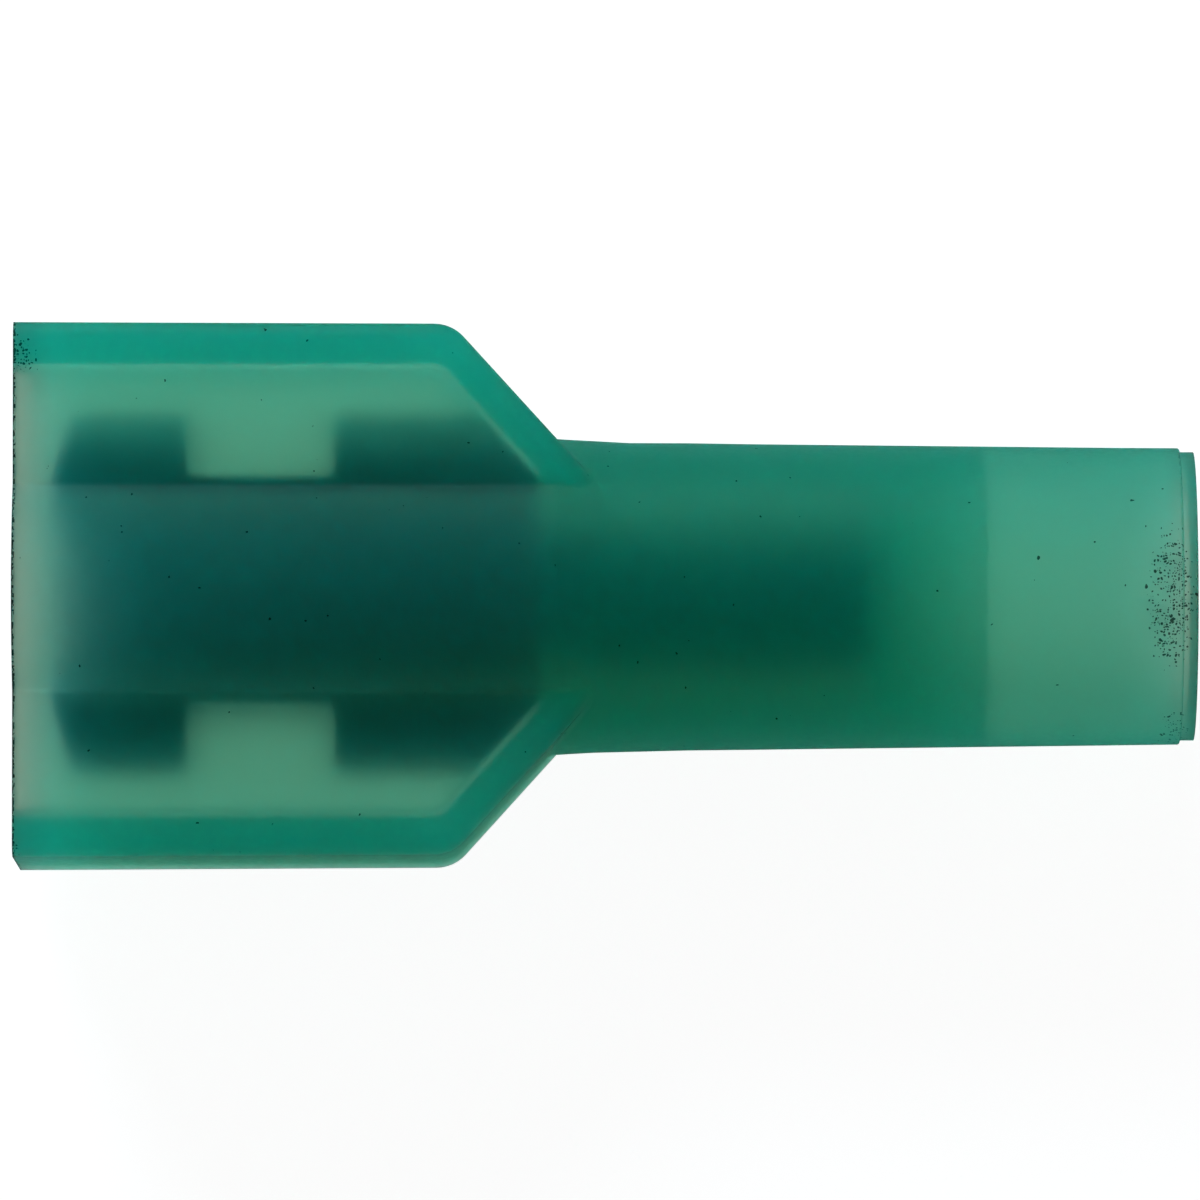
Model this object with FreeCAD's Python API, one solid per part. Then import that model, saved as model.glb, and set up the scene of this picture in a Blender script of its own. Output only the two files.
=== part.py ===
import FreeCAD, Part
import math
import os

# Fully insulated female spade terminal for a 6.3 mm tab and wire of 1.5 to 2.5 mm2.
# All sizes are in millimetres. X runs from the mouth to the wire end, Z up is the side of the rolls.
# The origin is at the middle of the mouth, on the wire's axis and on the tab's middle plane.

# Tab and sheet
tab_thickness = 0.8
tab_grip = 0.05  # how much narrower the slot is than the tab
sheet = 0.4

# Receptacle
receptacle_width = 7.2
receptacle_length = 9.72
front_recess = 0.69  # from the mouth to the receptacle's front edge
front_slant = 0.44  # how far the rolls' front corners stand back
front_flat_width = 4.3  # straight middle of the front edge
window_start = 2.78  # from the receptacle's front edge
window_length = 2.88
web_width = 4.6  # what the two windows leave between them
window_corner = 0.2
dimple_start = 4.0  # from the receptacle's front edge to the dimple's middle
dimple_radius = 0.7
dimple_height = 0.3
base_bevel = 0.15  # lead-in on the base's front edge

# Neck and crimp barrel
neck_width = 3.1
neck_length = 1.29
neck_sections = 8
crimp_bore_radius = 1.15
crimp_length = 5.3
seam_width = 0.05
serration_count = 3
serration_pitch = 1.1
serration_width = 0.35
serration_depth = 0.07
crimp_bevel = 0.12

# Clearances between the receptacle and the housing
seat_gap = 0.05
crimp_clearance = 0.05
neck_clearance = 0.25
side_gap = 0.91
top_gap = 0.3

# Housing walls
side_wall = 0.82
shoulder_wall = 0.69
top_wall = 0.6
box_draft = 0.04  # how much narrower each side is at the shoulder
box_edge_radius = 0.35
cavity_edge_radius = 0.2
shoulder_setback = 1.74  # from the shoulder's corner back to the cavity's rear wall
shoulder_angle = 47.8  # degrees from the axis
shoulder_corner_radius = 0.8
cavity_corner_radius = 0.3
crown_fillet = 0.2  # where the crown meets the flat faces

# Round barrel of the housing and the way in for the wire
entry_radius = 2.3
entry_depth = 4.17
entry_wall = 0.665
entry_bevel = 0.15
entry_ledge = 0.3  # flat step between the funnel and the entry bore
funnel_length = 2.3
throat_clearance = 0.05  # how much wider the throat is than the crimp bore
barrel_taper = 0.11  # how much thinner the barrel is at its end
crown_flare = 0.085  # how much larger the crown is than the barrel
flare_length = 2.6
rim_length = 0.28
rim_step = 0.08
rim_round = 0.05

overshoot = 1.0  # how far cutting shapes run past the faces they cut
close = 1e-4  # how near a corner must lie to count as the one looked for

# Heights of the receptacle
slot_height = tab_thickness - tab_grip
base_top = -tab_thickness / 2
base_bottom = base_top - sheet
roll_outer_radius = slot_height + sheet
roll_centre_z = base_top + slot_height
roll_centre_y = receptacle_width / 2 - roll_outer_radius
roll_top = roll_centre_z + roll_outer_radius
crimp_outer_radius = crimp_bore_radius + sheet

# Places along the axis
receptacle_end = front_recess + receptacle_length
cavity_depth = receptacle_end + seat_gap
crimp_start = receptacle_end + neck_length
crimp_end = crimp_start + crimp_length
stop_x = crimp_end + seat_gap
funnel_end = stop_x + funnel_length
housing_length = funnel_end + entry_depth
shoulder_x = cavity_depth - shoulder_setback

# Sections of the housing
cavity_half_width = receptacle_width / 2 + side_gap
box_half_width = cavity_half_width + side_wall
cavity_half_height = roll_top + top_gap
box_half_height = cavity_half_height + top_wall
barrel_end_radius = entry_radius + entry_wall
barrel_radius = barrel_end_radius + barrel_taper
crown_radius = barrel_radius + crown_flare
tunnel_radius = crown_radius - top_wall
bore_radius = crimp_outer_radius + crimp_clearance
neck_mouth_radius = math.hypot(neck_width / 2, base_bottom) + neck_clearance
throat_radius = crimp_bore_radius + throat_clearance

shoulder_slope = math.tan(math.radians(shoulder_angle))
shoulder_cosine = math.cos(math.radians(shoulder_angle))


def vec(x, y, z=0.0):
    return FreeCAD.Vector(x, y, z)


def shoulder_y(x, depth):
    """The half width, at x, of the line that runs depth inside the outer shoulder."""
    start = box_half_width - box_draft - depth / shoulder_cosine
    return start - (x - shoulder_x) * shoulder_slope


def shoulder_at(half_width, depth):
    """The place along the axis where that line is half_width from the axis."""
    start = box_half_width - box_draft - depth / shoulder_cosine
    return shoulder_x + (start - half_width) / shoulder_slope


def plan_prism(side_points, half_height):
    """A block whose outline, seen from above, is side_points and their mirror image."""
    right = [vec(x, y, -half_height) for x, y in side_points]
    left = [vec(x, -y, -half_height) for x, y in reversed(side_points)]
    outline = Part.makePolygon(right + left + right[:1])
    return Part.Face(outline).extrude(vec(0, 0, 2 * half_height))


def edges_along_z_at(shape, x, y):
    """Upright edges that stand at x and at y or its mirror image."""
    found = []
    for edge in shape.Edges:
        low, high = edge.Vertexes[0].Point, edge.Vertexes[-1].Point
        upright = math.hypot(low.x - high.x, low.y - high.y) < close
        if upright and math.hypot(low.x - x, abs(low.y) - y) < close:
            found.append(edge)
    return found


def long_edges(shape, half_height, first_x, last_x):
    """Edges in the top and bottom faces, apart from those across the block's two ends."""
    found = []
    for edge in shape.Edges:
        box = edge.BoundBox
        level = box.ZLength < close and abs(abs(box.ZMax) - half_height) < close
        across = box.XMax - first_x < close or last_x - box.XMin < close
        if level and not across:
            found.append(edge)
    return found


def turned(profile):
    """A solid turned about the X axis from a closed list of edges in the XY plane."""
    face = Part.Face(Part.Wire(Part.__sortEdges__(profile)))
    return face.revolve(vec(0, 0), vec(1, 0), 360)


def line(a, b):
    return Part.makeLine(vec(*a), vec(*b))


def chain(points):
    return [line(a, b) for a, b in zip(points, points[1:])]


def box_block():
    """The flat box with its shoulders, which end inside the barrel."""
    buried_half_width = bore_radius / 2
    end_x = shoulder_at(buried_half_width, 0)
    outline = [
        (0, box_half_width),
        (shoulder_x, box_half_width - box_draft),
        (end_x, buried_half_width),
    ]
    block = plan_prism(outline, box_half_height)
    corners = edges_along_z_at(block, shoulder_x, box_half_width - box_draft)
    block = block.makeFillet(shoulder_corner_radius, corners)
    return block.makeFillet(box_edge_radius, long_edges(block, box_half_height, 0, end_x))


def barrel_body():
    """The round barrel, which runs forward to the mouth as a crown over the flat box."""
    flare_start = cavity_depth + shoulder_wall / 2
    flare_end = flare_start + flare_length
    rim_x = housing_length - rim_length
    rim_radius = barrel_end_radius - rim_step
    flare = Part.BezierCurve()
    flare.setPoles(
        [
            vec(flare_start, crown_radius),
            vec((flare_start + flare_end) / 2, barrel_radius),
            vec(flare_end, barrel_radius),
        ]
    )
    front = chain([(flare_start, crown_radius), (0, crown_radius), (0, 0), (housing_length, 0)])
    rim = chain([(housing_length, 0), (housing_length, rim_radius), (rim_x, rim_radius)])
    step_top = (rim_x, barrel_end_radius - rim_round)
    step_side = (rim_x - rim_round, barrel_end_radius)
    away = rim_round * (1 - math.sqrt(0.5))
    step_round = Part.Arc(
        vec(*step_top),
        vec(rim_x - away, barrel_end_radius - away),
        vec(*step_side),
    )
    end = [line((rim_x, rim_radius), step_top), step_round.toShape()]
    taper = [line(step_side, (flare_end, barrel_radius)), flare.toShape()]
    return turned(front + rim + end + taper)


def crown_corners(shape):
    """The long inner corners between the crown and the flat faces."""
    crown_half_width = math.sqrt(crown_radius**2 - box_half_height**2)
    found = []
    for edge in shape.Edges:
        ends = [vertex.Point for vertex in edge.Vertexes]
        beside = all(abs(abs(end.y) - crown_half_width) < close for end in ends)
        level = all(abs(abs(end.z) - box_half_height) < close for end in ends)
        if beside and level and edge.BoundBox.YLength < close:
            found.append(edge)
    return found


def cavity():
    """The room for the receptacle, with the tunnel that lets its crimp barrel through."""
    rear_half_width = shoulder_y(cavity_depth, shoulder_wall)
    corner_x = shoulder_at(cavity_half_width, shoulder_wall)
    outline = [
        (-overshoot, cavity_half_width),
        (corner_x, cavity_half_width),
        (cavity_depth, rear_half_width),
    ]
    room = plan_prism(outline, cavity_half_height)
    room = room.makeFillet(cavity_corner_radius, edges_along_z_at(room, corner_x, cavity_half_width))
    edges = long_edges(room, cavity_half_height, -overshoot, cavity_depth)
    room = room.makeFillet(cavity_edge_radius, edges)
    tunnel = Part.makeCylinder(tunnel_radius, cavity_depth + overshoot, vec(-overshoot, 0), vec(1, 0))
    return room.fuse(tunnel)


def wire_way():
    """The bores from the cavity to the wire end: lead-in, crimp bore, throat, funnel, entry."""
    end = housing_length + overshoot
    bevel_end = entry_radius + entry_bevel + overshoot
    points = [
        (cavity_depth - seat_gap, 0),
        (cavity_depth - seat_gap, neck_mouth_radius),
        (cavity_depth, neck_mouth_radius),
        (crimp_start + seat_gap, bore_radius),
        (stop_x, bore_radius),
        (stop_x, throat_radius),
        (funnel_end, entry_radius - entry_ledge),
        (funnel_end, entry_radius),
        (housing_length - entry_bevel, entry_radius),
        (end, bevel_end),
        (end, 0),
        (cavity_depth - seat_gap, 0),
    ]
    return turned(chain(points))


def make_housing():
    body = box_block().fuse(barrel_body()).removeSplitter()
    body = body.makeFillet(crown_fillet, crown_corners(body))
    return body.cut(cavity()).cut(wire_way()).removeSplitter()


def roll_arc(side, radius):
    """Three quarters of a turn, from the base round the outside to the free edge."""
    diagonal = radius * math.sqrt(0.5)
    return Part.Arc(
        vec(0, side * roll_centre_y, roll_centre_z - radius),
        vec(0, side * (roll_centre_y + diagonal), roll_centre_z + diagonal),
        vec(0, side * (roll_centre_y - radius), roll_centre_z),
    ).toShape()


def sheet_section():
    """The base and its two rolled edges, cut across the axis."""
    edges = []
    for side in (1, -1):
        edges.append(roll_arc(side, roll_outer_radius))
        edges.append(roll_arc(side, slot_height))
        outer_end = vec(0, side * (roll_centre_y - roll_outer_radius), roll_centre_z)
        inner_end = vec(0, side * (roll_centre_y - slot_height), roll_centre_z)
        edges.append(Part.makeLine(outer_end, inner_end))
    for level in (base_top, base_bottom):
        edges.append(Part.makeLine(vec(0, -roll_centre_y, level), vec(0, roll_centre_y, level)))
    return Part.Face(Part.Wire(Part.__sortEdges__(edges)))


def receptacle_outline():
    """The outline from above: slanted fronts, and rear corners that follow the shoulders."""
    half_width = receptacle_width / 2
    depth = shoulder_wall + seat_gap
    front_flat = front_flat_width / 2
    return [
        (front_recess, front_flat),
        (front_recess + front_slant, half_width),
        (shoulder_at(half_width, depth), half_width),
        (receptacle_end, shoulder_y(receptacle_end, depth)),
    ]


def windows():
    """The two openings that are punched through the rolled edges."""
    start = front_recess + window_start
    reach = receptacle_width / 2 + overshoot
    height = roll_top - base_bottom + 2 * overshoot
    shapes = []
    for side in (1, -1):
        low_y = web_width / 2 if side > 0 else -reach
        corner = vec(start, low_y, base_bottom - overshoot)
        block = Part.makeBox(window_length, reach - web_width / 2, height, corner)
        inner = [
            edge
            for x in (start, start + window_length)
            for edge in edges_along_z_at(block, x, web_width / 2)
        ]
        shapes.append(block.makeFillet(window_corner, inner))
    return shapes


def dimple_balls():
    """The bump that drops into the tab's hole, and the dent that is left under it."""
    radius = (dimple_radius**2 + dimple_height**2) / (2 * dimple_height)
    middle_x = front_recess + dimple_start
    centre = vec(middle_x, 0, base_top + dimple_height - radius)
    width = 2 * radius
    base_middle = base_bottom + sheet / 2
    below = Part.makeBox(width, width, width, vec(middle_x - radius, -radius, base_middle - width))
    bump = Part.makeSphere(radius, centre).cut(below)
    dent = Part.makeSphere(radius - sheet, centre)
    return bump, dent


def base_lead_in():
    """The bevel on the upper front edge of the base."""
    half_width = front_flat_width / 2
    low = vec(front_recess, -half_width, base_top - base_bevel)
    high = low + vec(0, 0, 2 * base_bevel)
    rear = high + vec(2 * base_bevel, 0, 0)
    face = Part.Face(Part.makePolygon([low, high, rear, low]))
    return face.extrude(vec(0, front_flat_width, 0))


def channel_section(x, share):
    """One section of the neck: flat at share 0, bent to the crimp barrel's radius at 1."""
    base_middle = base_top - sheet / 2
    crimp_middle = crimp_bore_radius + sheet / 2
    middle_z = base_middle + share * (-crimp_middle - base_middle)
    half = neck_width / 2

    def at(offset, way):
        if share == 0:
            return vec(x, way * half, middle_z - offset)
        bend = crimp_middle / share
        swing = way * half / bend
        radius = bend + offset
        return vec(x, radius * math.sin(swing), middle_z + bend - radius * math.cos(swing))

    def piece(offset, first, last):
        start, end = at(offset, first), at(offset, last)
        if share == 0:
            return Part.makeLine(start, end)
        return Part.Arc(start, at(offset, (first + last) / 2), end).toShape()

    low, high = sheet / 2, -sheet / 2
    return Part.Wire(
        [
            piece(low, -1, 0),
            piece(low, 0, 1),
            Part.makeLine(at(low, 1), at(high, 1)),
            piece(high, 1, 0),
            piece(high, 0, -1),
            Part.makeLine(at(high, -1), at(low, -1)),
        ]
    )


def neck():
    """The joggled neck, which starts flat and ends as the floor of the crimp barrel."""
    sections = []
    for step in range(neck_sections):
        along = step / (neck_sections - 1)
        share = along**2 * (3 - 2 * along)
        sections.append(channel_section(receptacle_end + along * neck_length, share))
    return Part.makeLoft(sections, True, True)


def crimp_barrel():
    """The tube that closes on the wire, with its butted seam on top and grooves inside."""
    axis = vec(1, 0)
    start = vec(crimp_start, 0)
    tube = Part.makeCylinder(crimp_outer_radius, crimp_length, start, axis)
    tube = tube.cut(Part.makeCylinder(crimp_bore_radius, crimp_length, start, axis))
    slit_corner = vec(crimp_start, -seam_width / 2, crimp_bore_radius / 2)
    tube = tube.cut(Part.makeBox(crimp_length, seam_width, crimp_outer_radius, slit_corner))
    middle = crimp_start + crimp_length / 2
    for index in range(serration_count):
        offset = (index - (serration_count - 1) / 2) * serration_pitch
        low = vec(middle + offset - serration_width / 2, 0)
        tube = tube.cut(
            Part.makeCylinder(crimp_bore_radius + serration_depth, serration_width, low, axis)
        )
    mouth = Part.makeCone(
        crimp_bore_radius,
        crimp_bore_radius + crimp_bevel,
        crimp_bevel,
        vec(crimp_end - crimp_bevel, 0),
        axis,
    )
    return tube.cut(mouth)


def make_receptacle():
    rolled = sheet_section().extrude(vec(housing_length, 0))
    blank = plan_prism(receptacle_outline(), roll_top + overshoot)
    body = rolled.common(blank)
    for window in windows():
        body = body.cut(window)
    bump, dent = dimple_balls()
    body = body.fuse(bump).cut(dent).cut(base_lead_in())
    return body.fuse([neck(), crimp_barrel()]).removeSplitter()


def single_solid(shape):
    return shape.Solids[0] if len(shape.Solids) == 1 else shape


parts = {
    "housing": single_solid(make_housing()),
    "receptacle": single_solid(make_receptacle()),
}

os.makedirs("parts", exist_ok=True)
for name, shape in parts.items():
    shape.exportStep(f"parts/{name}.step")
    box = shape.BoundBox
    print(
        name,
        "solids", len(shape.Solids),
        "valid", shape.isValid(),
        "volume", round(shape.Volume, 2),
        "x", round(box.XMin, 3), round(box.XMax, 3),
        "y", round(box.YMin, 3), round(box.YMax, 3),
        "z", round(box.ZMin, 3), round(box.ZMax, 3),
    )
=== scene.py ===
import math

import bpy
from mathutils import Matrix, Vector


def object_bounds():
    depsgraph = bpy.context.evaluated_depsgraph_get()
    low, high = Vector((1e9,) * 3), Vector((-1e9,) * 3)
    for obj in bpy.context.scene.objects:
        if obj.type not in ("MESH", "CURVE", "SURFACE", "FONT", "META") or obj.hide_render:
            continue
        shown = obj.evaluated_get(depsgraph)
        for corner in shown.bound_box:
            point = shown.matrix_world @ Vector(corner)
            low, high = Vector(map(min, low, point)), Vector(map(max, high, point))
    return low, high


# Dresses the terminal in clouded nylon and dull tinned brass, over a white floor
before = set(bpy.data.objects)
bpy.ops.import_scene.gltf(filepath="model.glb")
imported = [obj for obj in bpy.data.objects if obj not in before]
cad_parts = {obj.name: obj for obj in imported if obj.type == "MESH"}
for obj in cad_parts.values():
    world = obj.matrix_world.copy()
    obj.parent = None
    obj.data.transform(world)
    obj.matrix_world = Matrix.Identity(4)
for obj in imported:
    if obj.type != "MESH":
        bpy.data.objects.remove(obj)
cad_low, cad_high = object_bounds()

# The part's own frame, in metres: mouth at the origin, wire end towards +X, rolled side up
mm = 0.001
white = (1.0, 1.0, 1.0, 1.0)

# The view from far above, leaning a little to -Y
view_width = 24.0 * mm
view_distance = 300.0 * mm
view_centre = Vector((11.66 * mm, -0.06 * mm, 0.0))
view_lean_side = math.radians(4.7)
view_turn = math.radians(-0.06)
view_sensor = 36.0
view_clip_ratio = 10.0

# The floor just under the part: grey in the light it sends back, and white to the camera
floor_gap = 0.02 * mm
floor_size = 0.6
floor_shade = 0.3
floor_glow = {"Is Camera Ray": 0.94, "Is Glossy Ray": 0.1, "Is Transmission Ray": 0.988}

# The world, and the lamp towards +Y
sky_side = 0.168
sky_top = 0.064
sky_glow = {"Is Camera Ray": 1.0, "Is Glossy Ray": 0.08, "Is Transmission Ray": 0.08}
key_place = (-0.06, 0.25, 0.1)
key_size = 0.2
key_power = 0.86
key_colour = (0.7, 0.9, 1.0)

# How often a ray may turn, in all and inside the nylon's cloud
ray_bounces = 8
cloud_bounces = 4

# Translucent moulded nylon, with its rates per millimetre and its other sizes in millimetres
nylon_tint = (0.52, 0.756, 0.663, 1.0)
# Painted shade: the nylon's colour turns darker and greyer towards its ends
nylon_end_painted_shade = (0.495, 0.49, 0.42, 1.0)

# The painted shade at the ends, darker and greyer, grows between two places along the housing, up to
# its share
painted_shade_ends = {
    "mouth": {"between": (0.8, 0.0), "share": 1.0},
    "wire entry": {"between": (19.4, 22.0), "share": 0.22},
    "wire end": {"between": (22.7, 23.5), "share": 1.0},
}
nylon_index = 1.43
nylon_absorbs = (0.974, 0.035, 0.109)
nylon_strength = 1.0
nylon_cloud = 1.228
nylon_cloud_colour = (0.025, 0.831, 1.0, 1.0)
nylon_forward = 0.612
nylon_rough = (0.43, 0.53)
nylon_sheen = (0.0, 0.1, 0.085, 1.0)
mould_wave = 0.9
mould_wave_depth = 0.004

# Dirt on the nylon in millimetres, with each speck's radius and jitter as shares of its cell
dirt_colour = (0.010, 0.012, 0.011, 1.0)
dirt_cell = 0.06
speck_radius = (0.2, 0.5)
speck_jitter = 0.4
stray_specks = 0.002
grit = 0.12
grit_pull = 0.1
patch_fade = (1.0, 0.4)

# A patch's share is how many of the cells in its middle have a speck
dirt_patches = {
    "wire end": {"centre": (23.02, -0.2, 2.7), "reach": (0.55, 1.6, 0.9), "share": 1.3},
    "wire end at -Y": {"centre": (23.1, -2.7, 1.2), "reach": (0.35, 0.5, 1.2), "share": 0.5},
    "mouth at +Y": {"centre": (0.1, 4.65, 2.2), "reach": (0.6, 0.5, 0.9), "share": 1.0},
    "mouth at -Y": {"centre": (0.0, -4.95, 1.9), "reach": (0.25, 0.7, 0.9), "share": 1.0},
}
dirt_spots = {
    "far": {"centre": (20.38, 0.57, 2.9), "radius": 0.035},
    "middle": {"centre": (21.50, 0.90, 2.8), "radius": 0.03},
    "near": {"centre": (22.55, 0.0, 2.9), "radius": 0.04},
    "nearest": {"centre": (22.70, 0.3, 2.9), "radius": 0.045},
    "last": {"centre": (23.05, -0.63, 2.9), "radius": 0.04},
}
spot_tallness = 10.0
mouth_line_start = 0.004
mouth_line_end = 0.06

# Tin plating on the brass, with painted light that is cooler at the spade and warmer at the crimp
# barrel, in millimetres
metal_painted_cool_light = (0.13, 0.225, 0.25, 1.0)
metal_painted_warm_light = (0.19, 0.16, 0.1, 1.0)
painted_light_turn = (6.0, 14.0)
metal_rough = (0.45, 0.6)
grain_width = 0.05
grain_length = 2.5
grain_depth = 0.0006

# What the noise gives nearly everywhere, and the colour sockets of Blender's Mix node
noise_range = (0.3, 0.7)
mix_first = 6
mix_second = 7
mix_result = 2


def new_material(name):
    material = bpy.data.materials.new(name)
    material.use_nodes = True
    material.node_tree.nodes.clear()
    return material, material.node_tree


def dress(piece, material):
    piece.data.materials.clear()
    piece.data.materials.append(material)


def add(tree, kind, inputs=None, **settings):
    """A new shader node, with its settings and with links or values on its inputs."""
    made = tree.nodes.new("ShaderNode" + kind)
    for name, value in settings.items():
        setattr(made, name, value)
    for name, value in (inputs or {}).items():
        if isinstance(value, bpy.types.NodeSocket):
            tree.links.new(value, made.inputs[name])
        else:
            made.inputs[name].default_value = value
    return made


def maths(tree, operation, first, second):
    return add(tree, "Math", {0: first, 1: second}, operation=operation).outputs["Value"]


def larger(tree, first, second):
    return maths(tree, "MAXIMUM", first, second)


def vector_maths(tree, operation, *values, result="Vector"):
    made = add(tree, "VectorMath", dict(enumerate(values)), operation=operation)
    return made.outputs[result]


def ramp(tree, value, source, target):
    """Turns the range source into the range target, and stays level outside it."""
    inputs = {
        "Value": value,
        "From Min": source[0],
        "From Max": source[1],
        "To Min": target[0],
        "To Max": target[1],
    }
    return add(tree, "MapRange", inputs).outputs["Result"]


def mixed(tree, share, first, second):
    inputs = {0: share, mix_first: first, mix_second: second}
    return add(tree, "Mix", inputs, data_type="RGBA").outputs[mix_result]


def place_in_mm(tree, scale=(1.0, 1.0, 1.0)):
    """The place on the piece in millimetres, times scale."""
    coordinates = add(tree, "TexCoord")
    grown = [part / mm for part in scale]
    return vector_maths(tree, "MULTIPLY", coordinates.outputs["Object"], grown)


def along_part(tree, place):
    return add(tree, "SeparateXYZ", {0: place}).outputs["X"]


def noise(tree, place, size):
    return add(tree, "TexNoise", {"Vector": place, "Scale": 1.0 / size, "Detail": 0.0})


def bumped(tree, height, depth):
    bump = add(tree, "Bump", {"Height": height, "Distance": depth * mm, "Strength": 1.0})
    return bump.outputs["Normal"]


def from_centre(tree, place, centre, reach):
    """0 in the middle of an ellipsoid and 1 at its edge."""
    shrink = [1.0 / half for half in reach]
    shift = [-middle / half for middle, half in zip(centre, reach)]
    share = vector_maths(tree, "MULTIPLY_ADD", place, shrink, shift)
    return vector_maths(tree, "LENGTH", share, result="Value")


def specks(tree, place, share):
    """Specks of many sizes, at most one in each cell of a fine grid, and a chance for each cell."""
    cells = vector_maths(tree, "DIVIDE", place, [dirt_cell] * 3)
    chance = add(tree, "TexWhiteNoise", {"Vector": vector_maths(tree, "FLOOR", cells)})
    jitter = [speck_jitter] * 3
    least = [(1.0 - speck_jitter) / 2] * 3
    middle = vector_maths(tree, "MULTIPLY_ADD", chance.outputs["Color"], jitter, least)
    inside = vector_maths(tree, "FRACTION", cells)
    far = vector_maths(tree, "DISTANCE", inside, middle, result="Value")
    parts = add(tree, "SeparateXYZ", {0: chance.outputs["Color"]})
    radius = ramp(tree, parts.outputs["Y"], (0.0, 1.0), speck_radius)
    present = maths(tree, "LESS_THAN", chance.outputs["Value"], share)
    speck = maths(tree, "MULTIPLY", present, maths(tree, "LESS_THAN", far, radius))
    return speck, chance.outputs["Value"]


def mouth_edge(tree, along, chance):
    """The uneven dark line beside the mouth's edge, and none on the mouth's own face."""
    behind_face = maths(tree, "GREATER_THAN", along, mouth_line_start)
    line_end = maths(tree, "MULTIPLY", chance, mouth_line_end)
    return maths(tree, "MULTIPLY", behind_face, maths(tree, "LESS_THAN", along, line_end))


def dirt(tree, along, place):
    """Clusters at the wire end and the mouth, a few larger spots, stray specks and the mouth's edge."""
    share = stray_specks
    for patch in dirt_patches.values():
        far = from_centre(tree, place, patch["centre"], patch["reach"])
        share = larger(tree, ramp(tree, far, patch_fade, (0.0, patch["share"])), share)
    speck, chance = specks(tree, place, share)
    everything = larger(tree, speck, mouth_edge(tree, along, chance))
    for spot in dirt_spots.values():
        reach = (spot["radius"], spot["radius"], spot_tallness * spot["radius"])
        far = from_centre(tree, place, spot["centre"], reach)
        everything = larger(tree, everything, maths(tree, "LESS_THAN", far, 1.0))
    return everything


def painted_shade_towards_ends(tree, along):
    """How much painted shade: 0 along the housing, rising towards the mouth and the wire end."""
    total = 0.0
    for end in painted_shade_ends.values():
        total = larger(tree, ramp(tree, along, end["between"], (0.0, end["share"])), total)
    return total


def nylon_inside(tree):
    """What the nylon soaks up, which is 1 - Color times Density, and the cloud that scatters light."""
    passed = [1.0 - rate / nylon_strength for rate in nylon_absorbs]
    soaked = {"Color": (*passed, 1.0), "Density": nylon_strength / mm}
    absorption = add(tree, "VolumeAbsorption", soaked)
    scattered = {"Color": nylon_cloud_colour, "Density": nylon_cloud / mm, "Anisotropy": nylon_forward}
    cloud = add(tree, "VolumeScatter", scattered)
    return add(tree, "AddShader", {0: absorption.outputs[0], 1: cloud.outputs[0]}).outputs[0]


def nylon():
    material, tree = new_material("nylon")
    place = place_in_mm(tree)
    along = along_part(tree, place)
    # The nylon's colour, with painted shade towards the mouth and the wire end
    clean_with_painted_shade = mixed(tree, painted_shade_towards_ends(tree, along), nylon_tint, nylon_end_painted_shade)
    uneven = noise(tree, place, grit)
    pulled = vector_maths(tree, "MULTIPLY_ADD", uneven.outputs["Color"], [grit_pull] * 3, place)
    wave = noise(tree, place, mould_wave).outputs["Fac"]
    inputs = {
        "Base Color": mixed(tree, dirt(tree, along, pulled), clean_with_painted_shade, dirt_colour),
        "Transmission Weight": 1.0,
        "IOR": nylon_index,
        "Specular Tint": nylon_sheen,
        "Roughness": ramp(tree, uneven.outputs["Fac"], noise_range, nylon_rough),
        "Normal": bumped(tree, wave, mould_wave_depth),
    }
    surface = add(tree, "BsdfPrincipled", inputs)
    add(tree, "OutputMaterial", {"Surface": surface.outputs["BSDF"], "Volume": nylon_inside(tree)})
    return material


def tinned_brass():
    material, tree = new_material("tinned_brass")
    # Painted light: a cool cast at the spade turning to a warm cast at the crimp barrel
    painted_light_warmth = ramp(tree, along_part(tree, place_in_mm(tree)), painted_light_turn, (0.0, 1.0))
    lengthwise = (grain_width / grain_length, 1.0, 1.0)
    grain = noise(tree, place_in_mm(tree, lengthwise), grain_width).outputs["Fac"]
    inputs = {
        "Base Color": mixed(tree, painted_light_warmth, metal_painted_cool_light, metal_painted_warm_light),
        "Metallic": 1.0,
        "Roughness": ramp(tree, grain, noise_range, metal_rough),
        "Normal": bumped(tree, grain, grain_depth),
    }
    surface = add(tree, "BsdfPrincipled", inputs)
    add(tree, "OutputMaterial", {"Surface": surface.outputs["BSDF"]})
    return material


def glow(tree, strengths):
    """How bright a floor or a sky is to the camera, in a gloss and through the nylon."""
    path = add(tree, "LightPath")
    total = 0.0
    for ray, strength in strengths.items():
        total = larger(tree, maths(tree, "MULTIPLY", path.outputs[ray], strength), total)
    return total


def make_floor():
    place = (0.0, 0.0, cad_low.z - floor_gap)
    bpy.ops.mesh.primitive_plane_add(size=floor_size, location=place)
    floor = bpy.context.object
    floor.name = "floor"
    material, tree = new_material("white_floor")
    base = add(tree, "BsdfDiffuse", {"Color": (floor_shade, floor_shade, floor_shade, 1.0)})
    light = add(tree, "Emission", {"Color": white, "Strength": glow(tree, floor_glow)})
    both = add(tree, "AddShader", {0: base.outputs[0], 1: light.outputs[0]})
    add(tree, "OutputMaterial", {"Surface": both.outputs[0]})
    dress(floor, material)


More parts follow.
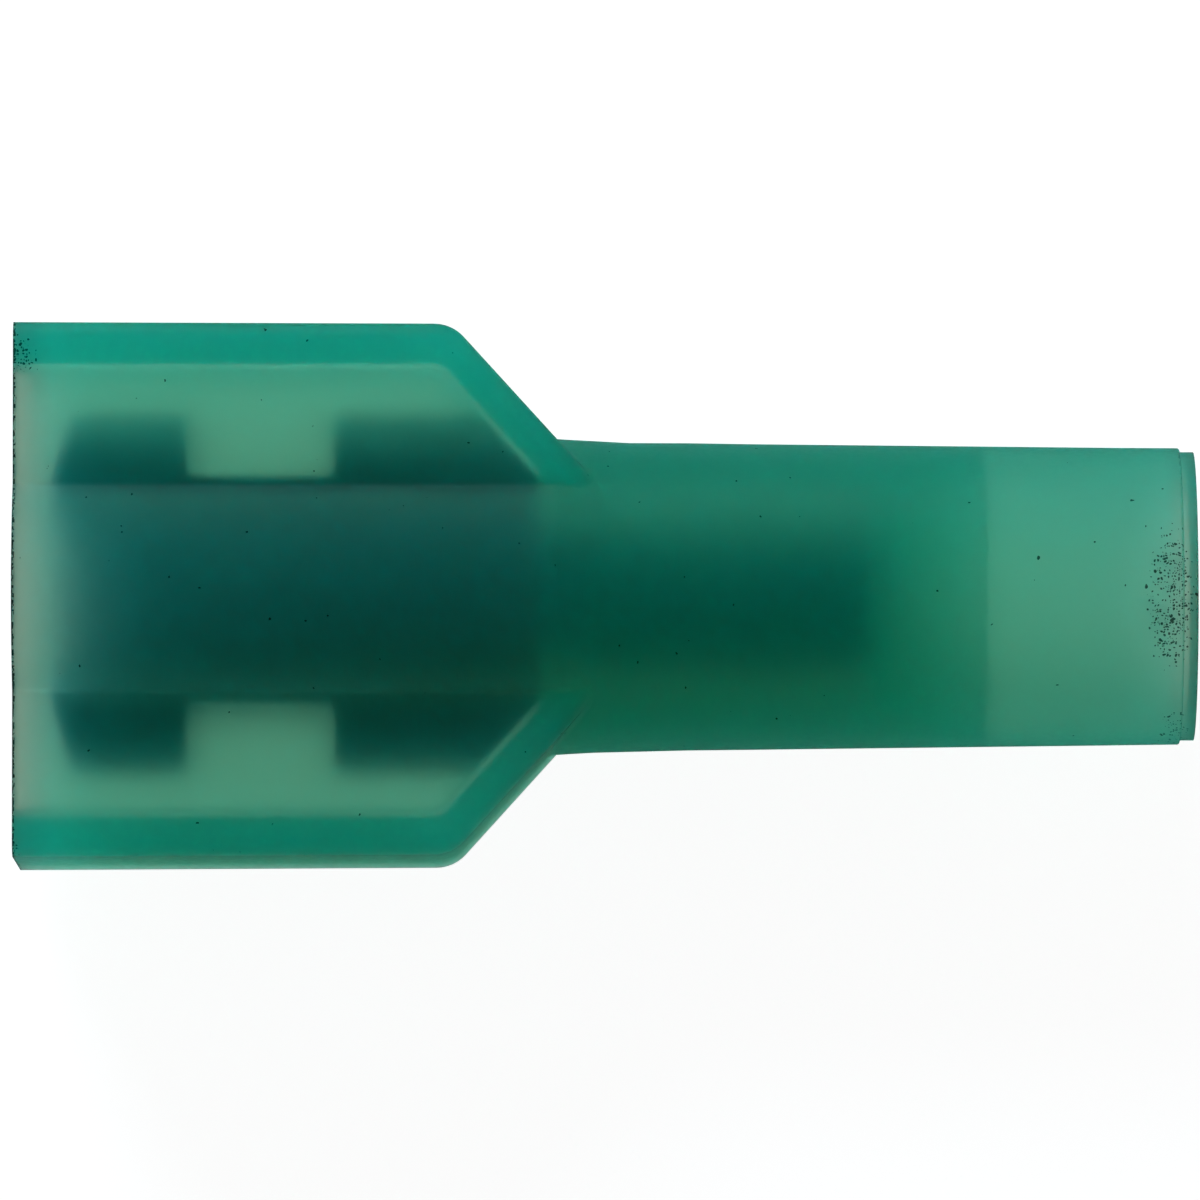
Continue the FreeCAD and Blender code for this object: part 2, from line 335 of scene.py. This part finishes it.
def make_world():
    """Darker overhead than at the sides, and white where the camera looks past the floor."""
    world = bpy.data.worlds.new("studio")
    bpy.context.scene.world = world
    world.use_nodes = True
    tree = world.node_tree
    tree.nodes.clear()
    parts = add(tree, "SeparateXYZ", {0: add(tree, "TexCoord").outputs["Generated"]})
    daylight = ramp(tree, parts.outputs["Z"], (0.0, 1.0), (sky_side, sky_top))
    strength = larger(tree, daylight, glow(tree, sky_glow))
    sky = add(tree, "Background", {"Color": white, "Strength": strength})
    add(tree, "OutputWorld", {"Surface": sky.outputs[0]})


def make_lamp(name, place, size, power, colour):
    """A round lamp that points at the origin."""
    light = bpy.data.lights.new(name, "AREA")
    light.shape = "DISK"
    light.size = size
    light.energy = power
    light.color = colour
    holder = bpy.data.objects.new(name, light)
    bpy.context.scene.collection.objects.link(holder)
    holder.location = place
    holder.rotation_mode = "QUATERNION"
    holder.rotation_quaternion = (-Vector(place)).to_track_quat("-Z", "Y")


def make_camera():
    camera = bpy.data.cameras.new("camera")
    camera.sensor_width = view_sensor
    camera.lens = view_sensor * view_distance / view_width
    camera.clip_start = view_distance / view_clip_ratio
    camera.clip_end = view_distance * view_clip_ratio
    holder = bpy.data.objects.new("camera", camera)
    bpy.context.scene.collection.objects.link(holder)
    lean = Matrix.Rotation(view_lean_side, 4, "X")
    turn = Matrix.Rotation(view_turn, 4, "Z")
    back_off = Matrix.Translation((0.0, 0.0, view_distance))
    holder.matrix_world = Matrix.Translation(view_centre) @ lean @ turn @ back_off
    bpy.context.scene.camera = holder


def limit_rays():
    """Enough turns for light inside the nylon, and no sampling of the plain world as a lamp."""
    cycles = bpy.context.scene.cycles
    cycles.volume_bounces = cloud_bounces
    cycles.max_bounces = ray_bounces
    cycles.transmission_bounces = ray_bounces
    cycles.use_light_tree = False
    bpy.context.scene.world.cycles.sampling_method = "NONE"


dress(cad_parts["housing"], nylon())
dress(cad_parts["receptacle"], tinned_brass())
make_floor()
make_world()
make_lamp("key", key_place, key_size, key_power, key_colour)
make_camera()
limit_rays()
bpy.context.scene.view_settings.view_transform = "Standard"
